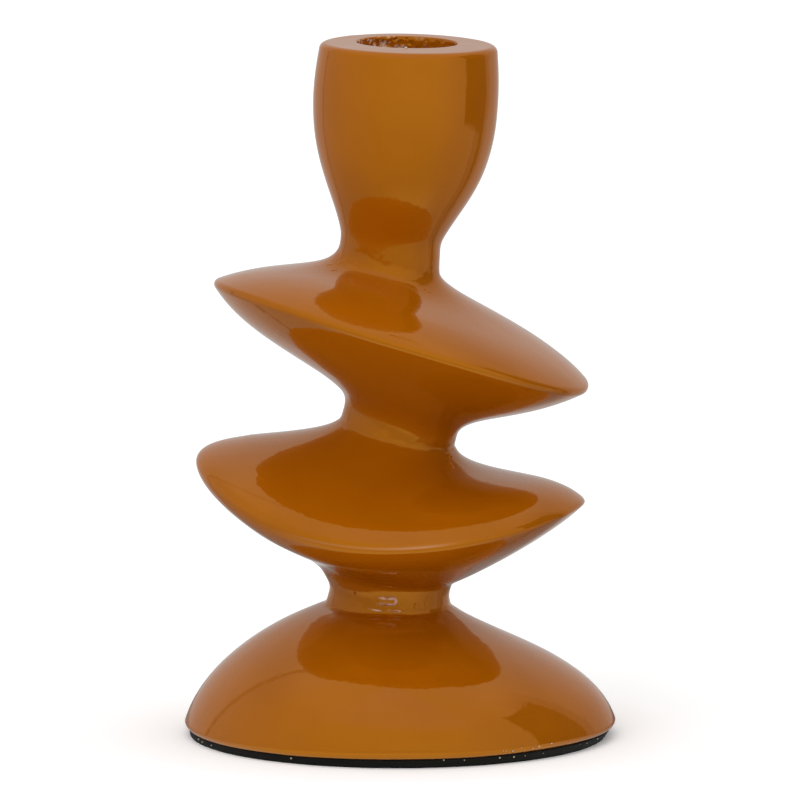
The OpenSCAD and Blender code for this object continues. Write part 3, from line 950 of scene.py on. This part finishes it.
# Where the attribute is set, a pale colour is painted into the enamel as highlights and glints.
pale = shader.node("Attribute", {"attribute_name": "pale"}, output=2)
colour = shader.mix(pale, colour, PAINTED_GLINT_COLOUR)
waves = shader.noise(place, 70, 1)
peel = shader.noise(place, 560, 2)
near, cell = (shader.node("TexVoronoi", {"feature": "F1"}, {"Vector": place, "Scale": 150},
                          output=k) for k in (0, 1))
nibs = near.step(0.10, 0.02) * shader.node("SeparateColor", None, {0: cell}).step(0.93, 0.95)
height = waves * WAVE_HEIGHT + peel * PEEL_HEIGHT + nibs * NIB_HEIGHT
shader.principled({"Base Color": colour, "Roughness": 0.045, "IOR": ENAMEL_IOR,
                   "Specular IOR Level": 1.0, "Specular Tint": ENAMEL_TINT,
                   "Normal": shader.relief(height)})
for piece in castings.values():
    wear(piece, enamel)
print("enamel nodes:", len(shader.tree.nodes))

# %% [markdown]
# ## The felt, the glue, the steel and the board
# Felt is a mat of fibres that lie every way: it is rough, it takes no shine, and single fibres
# catch a little light. Dried glue is cloudy, from a pale cream to a light brown. The rod, the
# washers and the nut are zinc plated, which gives a greyish metal with patches of duller plating.
# The board is pressed from brown wood fibre. What changes over each of them is soft noise.

# %% Felt
FELT, FELT_FIBRE = (0.0025, 0.0025, 0.003, 1), (0.013, 0.012, 0.012, 1)

felt, shader = new_material("black_felt")
place = shader.object_place()
fibre = shader.noise(place, 2600, 3, 0.7)
tuft = shader.noise(place, 500, 2)
height = fibre * (0.06 * MM) + tuft * (0.12 * MM)
shader.principled({"Base Color": shader.mix(fibre.step(0.5, 0.78), FELT, FELT_FIBRE),
                   "Roughness": 0.95, "Specular IOR Level": 0.2, "Sheen Weight": 0.05,
                   "Sheen Roughness": 0.5, "Normal": shader.relief(height)})
wear(felt_pad, felt)
print("felt nodes:", len(shader.tree.nodes))

# %% Dried glue, and painted glints on the foot's beads
# The glue's own pale cream and brown; on the beads at the foot's edge the same colours are painted
# glints.
GLUE_AND_GLINT, GLUE_AND_GLINT_BROWN = (0.66, 0.54, 0.42, 1), (0.46, 0.33, 0.22, 1)

glue_and_glint_paint, shader = new_material("dried_glue_and_painted_glints")
cloud = shader.noise(shader.object_place(), 1500, 2)
shader.principled({"Base Color": shader.mix(cloud.step(0.35, 0.65), GLUE_AND_GLINT, GLUE_AND_GLINT_BROWN),
                   "Roughness": cloud.step(0.3, 0.7, 0.35, 0.6),
                   "Normal": shader.relief(cloud * (0.05 * MM))})
wear(glue_crumbs_and_glint_beads, glue_and_glint_paint)
print("glue nodes:", len(shader.tree.nodes))

# %% Zinc plated steel
ZINC, ZINC_DULL = (0.60, 0.61, 0.62, 1), (0.47, 0.47, 0.46, 1)

zinc, shader = new_material("zinc_plated_steel")
place = shader.object_place()
patch = shader.noise(place, 240, 3, 0.6)
grain = shader.noise(place, 1800, 2)
shader.principled({"Base Color": shader.mix(patch.step(0.4, 0.65), ZINC, ZINC_DULL),
                   "Metallic": 1.0, "Roughness": patch.step(0.3, 0.7, 0.28, 0.46),
                   "Normal": shader.relief(grain * (0.008 * MM))})
for node in ("tie_rod", "flat_washer", "spring_washer", "rod_nut"):
    wear(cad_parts[node], zinc)
print("zinc nodes:", len(shader.tree.nodes))

# %% Hardboard
BOARD, BOARD_DARK, BOARD_STRAND = ((0.17, 0.085, 0.036, 1), (0.095, 0.045, 0.02, 1),
                                   (0.29, 0.17, 0.085, 1))

hardboard, shader = new_material("hardboard")
place = shader.object_place()
clump = shader.noise(place, 330, 4, 0.6)
strand = shader.noise(place, 1500, 3, 0.7)
colour = shader.mix(clump.step(0.35, 0.7), BOARD, BOARD_DARK)
colour = shader.mix(strand.step(0.6, 0.75) * 0.6, colour, BOARD_STRAND)
height = clump * (0.05 * MM) + strand * (0.03 * MM)
shader.principled({"Base Color": colour, "Roughness": strand.step(0.3, 0.7, 0.6, 0.75),
                   "Normal": shader.relief(height)})
wear(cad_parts["base_board"], hardboard)
print("hardboard nodes:", len(shader.tree.nodes))

# %% [markdown]
# ## The studio
# The light is a plain white world with one broad soft lamp. The floor is a plain pale plane. To
# the camera it is white, so that the object stands on white as in the photograph, and it keeps
# the shadow.

# %% The floor and the world
FLOOR_HALF = 4.0
FLOOR_GREY = 0.71
FLOOR_SHOWN = 1.08
DAYLIGHT = 1.0

bm = bmesh.new()
bmesh.ops.create_grid(bm, x_segments=1, y_segments=1, size=FLOOR_HALF)
floor = add_mesh("floor", bm)
floor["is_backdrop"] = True
floor_paint, shader = new_material("pale_floor")
shown = sum(shader.node("LightPath", output=f"Is {kind} Ray")
            for kind in ("Camera", "Glossy", "Transmission"))
colour = shader.mix(shown, (*[FLOOR_GREY] * 3, 1), (*[FLOOR_SHOWN] * 3, 1))
shader.show(shader.node("BsdfDiffuse", None, {"Color": colour}))
wear(floor, floor_paint)

world = bpy.data.worlds.new("white_world")
bpy.context.scene.world = world
shader = Shader(world)
backdrop = shader.node("Background", None, {"Color": (1, 1, 1, 1), "Strength": DAYLIGHT})
shader.show(backdrop, "World")
print("the floor is", 2 * FLOOR_HALF, "m wide")

# %% The lamp
LAMP_SIZE = 1.6
LAMP_WATTS = 9
LAMP_AT = (-0.9, -1.6, 1.6)
lamp_data = bpy.data.lights.new("soft_lamp", "AREA")
lamp_data.shape = "DISK"
lamp_data.size = LAMP_SIZE
lamp_data.energy = LAMP_WATTS
lamp = add_object("soft_lamp", lamp_data)
stand(lamp, LAMP_AT)
lamp.visible_glossy = False
print("the lamp is", LAMP_SIZE, "m wide and gives", LAMP_WATTS, "W")

# %% [markdown]
# ## The light tent
# The photograph was made in a light tent. Its walls show in the enamel: a dim wall on the left, a
# pale one behind, and on the right a tall dark gap where the tent is open. The tent here is a
# drum that only mirrors can see. It lights nothing, so the gap throws no shadow.

# %% The drum
TENT_RADIUS = 1.86
TENT_HEIGHT = 3.6
TENT_FLOOR = 0.3 * MM
TENT_SIDES = 96
bm = bmesh.new()
ring = bmesh.ops.create_circle(bm, cap_ends=True, segments=TENT_SIDES, radius=TENT_RADIUS)["verts"]
bmesh.ops.translate(bm, verts=ring, vec=(0, 0, TENT_FLOOR))
made = bmesh.ops.extrude_edge_only(bm, edges=edges_of(bm, ring))["geom"]
raised = [item for item in made if isinstance(item, bmesh.types.BMVert)]
bmesh.ops.translate(bm, verts=raised, vec=(0, 0, TENT_HEIGHT))
lid = [item for item in made if isinstance(item, bmesh.types.BMEdge)
       and all(vert in raised for vert in item.verts)]
bmesh.ops.contextual_create(bm, geom=lid)
tent = add_mesh("light_tent", bm)
for ray in ("camera", "diffuse", "shadow", "transmission", "volume_scatter"):
    setattr(tent, "visible_" + ray, False)
tent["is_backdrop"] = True
print("the tent has", len(tent.data.polygons), "faces")

# %% Where a point of the tent lies
def between(value, low, high, soft):
    """One inside a range and nothing outside, with soft ends."""
    return value.step(low - soft, low + soft) * value.step(high + soft, high - soft)


tent_cloth, shader = new_material("tent_walls")
place = shader.object_place()
east, north, up = (shader.node("SeparateXYZ", None, {0: place}, output=k) for k in range(3))
# The bearing is 0 in front, where the camera is, 90 on the right and 180 at the back. The radius
# and the height are in metres.
bearing = shader.node("Math", {"operation": "ARCTAN2"}, {0: east, 1: 0 - north}) * (180 / pi)
radius = (east * east + north * north) ** 0.5
print("tent nodes so far:", len(shader.tree.nodes))

# %% [markdown]
# ## What the tent shows
# The walls are one sum of soft steps round the bearing, so each step is a place where one wall ends
# and the next begins. The floor grows dimmer towards the holder, but it is bright close in front of
# it, and the roof has one glow of its own. The numbers were found from where each wall's edge shows
# in the enamel.

# %% How brightly it glows there
FRONT_WALL, SIDE_WALL, BACK_WALL, ROOF = 0.70, 0.49, 0.60, 0.62
LEFT_END, LEFT_BACK, BESIDE_GAP, RIGHT_BACK = 0.38, 0.45, 0.29, 0.40
FRONT_GLOW, NEAR_GLOW, BEHIND_GLOW = 0.06, 0.42, 0.26

wall = (bearing.step(-150, 20, LEFT_END, FRONT_WALL)
        - bearing.step(35, 85, 0, FRONT_WALL - SIDE_WALL)
        - bearing.step(100, 101, 0, SIDE_WALL - BESIDE_GAP)
        + bearing.step(126.5, 127.5, 0, RIGHT_BACK - BESIDE_GAP)
        + bearing.step(130, 178, 0, BACK_WALL - RIGHT_BACK)
        + bearing.step(-125, -127, 0, LEFT_BACK - LEFT_END)
        + bearing.step(-130, -178, 0, BACK_WALL - LEFT_BACK))
front = between(bearing, -25, 50, 25)
near_front = between(bearing, -70, 60, 30)
behind = 1 - between(bearing, -135, 120, 10)
glow = wall * radius.step(0.1, 0.62, 0.78, 1.0)
# In front the foot of the wall is a little brighter, and the floor close by is much brighter.
glow = glow + front * up.step(0.90, 0.36) * radius.step(0.3, 0.6) * FRONT_GLOW
glow = glow + near_front * radius.step(0.17, 0.07) * NEAR_GLOW
# Behind, the floor beside the holder is dim and the floor further off is bright.
glow = glow + behind * (radius.step(0.10, 0.17) - 0.5) * radius.step(0.9, 0.2) * BEHIND_GLOW
glow = glow + (ROOF - glow) * up.step(1.35, 3.0)
print("the walls glow from", BESIDE_GAP, "to", FRONT_WALL)

# %% The gap, the corner and the tint
GAP_GLOW = 0.07
GAP_FROM, GAP_TO, GAP_TAIL = 79, 118.5, 110
GAP_TOP = 1.86
CORNER_DIM = 0.5
WARM_LOW, COOL_HIGH = -0.35, 0.45  # blue that the front lacks below and has more of above

corner = between(bearing, -128, -125, 0.6)
# The gap begins away from the holder's foot, and its far end comes closer in a narrow tail.
gap_reach = radius + bearing.step(GAP_TAIL, GAP_TAIL + 3) * 0.32
gap = (between(bearing, GAP_FROM, GAP_TO, 1.0) * up.step(GAP_TOP + 0.04, GAP_TOP - 0.04)
       * gap_reach.step(0.43, 0.50))
glow = glow * (1 - corner * CORNER_DIM) + gap * (GAP_GLOW - glow)
blue = 1 + between(bearing, -50, 50, 25) * up.step(0.9, 2.2, WARM_LOW, COOL_HIGH)
hue = shader.node("CombineColor", None, {0: 1.0, 1: 1.0, 2: blue})
shader.show(shader.node("Emission", None, {"Color": hue, "Strength": glow}))
wear(tent, tent_cloth)
print("tent nodes:", len(shader.tree.nodes))

# %% [markdown]
# ## Measure and finish
# The box of the finished model is kept beside the CAD model's box, because Blender may not change
# the size of the object.

# %% Finish
size = {"cad": cad_box, "visual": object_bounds()}
for key, box in size.items():
    print(key, "box:", [[round(c, 4) for c in corner] for corner in box])
